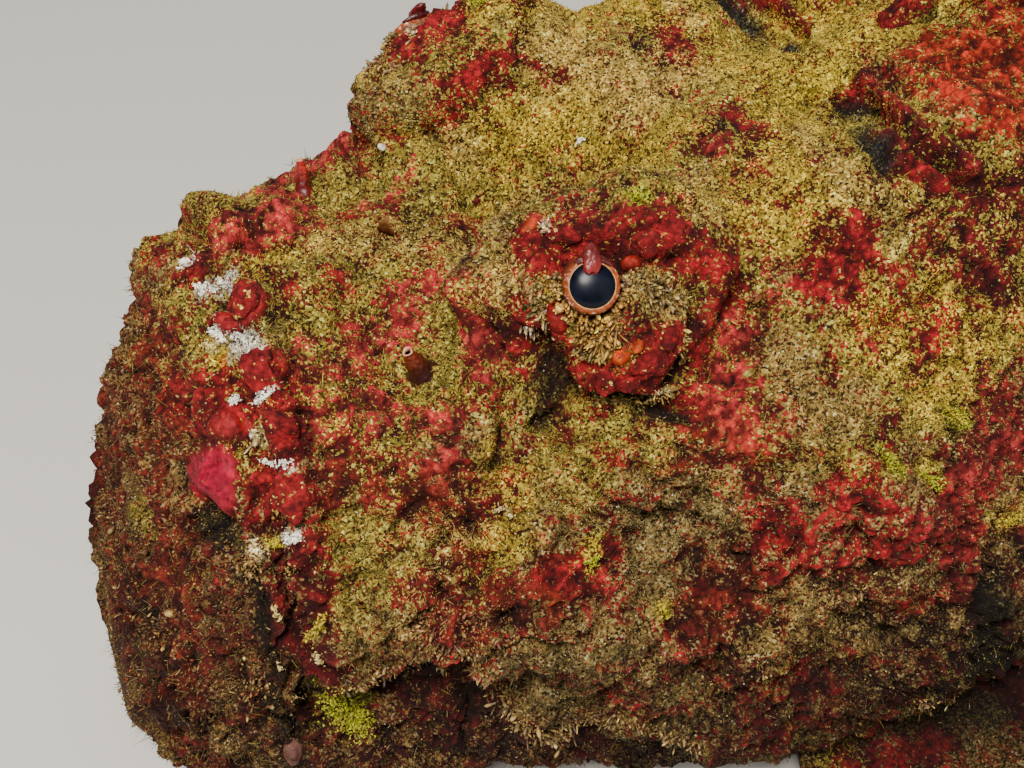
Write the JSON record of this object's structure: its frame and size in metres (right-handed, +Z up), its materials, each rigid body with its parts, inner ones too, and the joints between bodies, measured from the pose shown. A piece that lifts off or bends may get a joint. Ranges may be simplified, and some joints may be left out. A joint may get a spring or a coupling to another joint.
{
  "type": "reef stonefish",
  "caption": "Life-size reef stonefish lying on its belly: broad warty head with an upturned mouth, raised eyes, fanned pectoral fins, sheathed dorsal spines and a swung tail.",
  "frame": {"origin": "on the floor, in the flat of the belly under the highest point of the back", "axes": "-X towards the snout, +X towards the tail, -Y the fish's left side, +Z up"},
  "size_m": [0.3334, 0.2304, 0.127],
  "materials": {
    "skin": "rough, warty, crimson with olive-yellow turf",
    "fin_skin": "rough, thick, mottled crimson and brown",
    "eye": "wet, dark pupil with an orange-brown ring"
  },
  "bodies": {
    "root": {"head": "skin", "lower_jaw": "skin", "gill_cover_left": "skin", "gill_cover_right": "skin", "trunk": "skin", "tail_stem": "skin", "eye_left": "eye", "eye_right": "eye", "spiny_dorsal_fin": "fin_skin", "soft_dorsal_fin": "fin_skin", "anal_fin": "fin_skin", "caudal_fin": "fin_skin", "pectoral_fin_left": "fin_skin", "pectoral_fin_right": "fin_skin", "pelvic_fin_left": "fin_skin", "pelvic_fin_right": "fin_skin"}
  },
  "joints": []
}
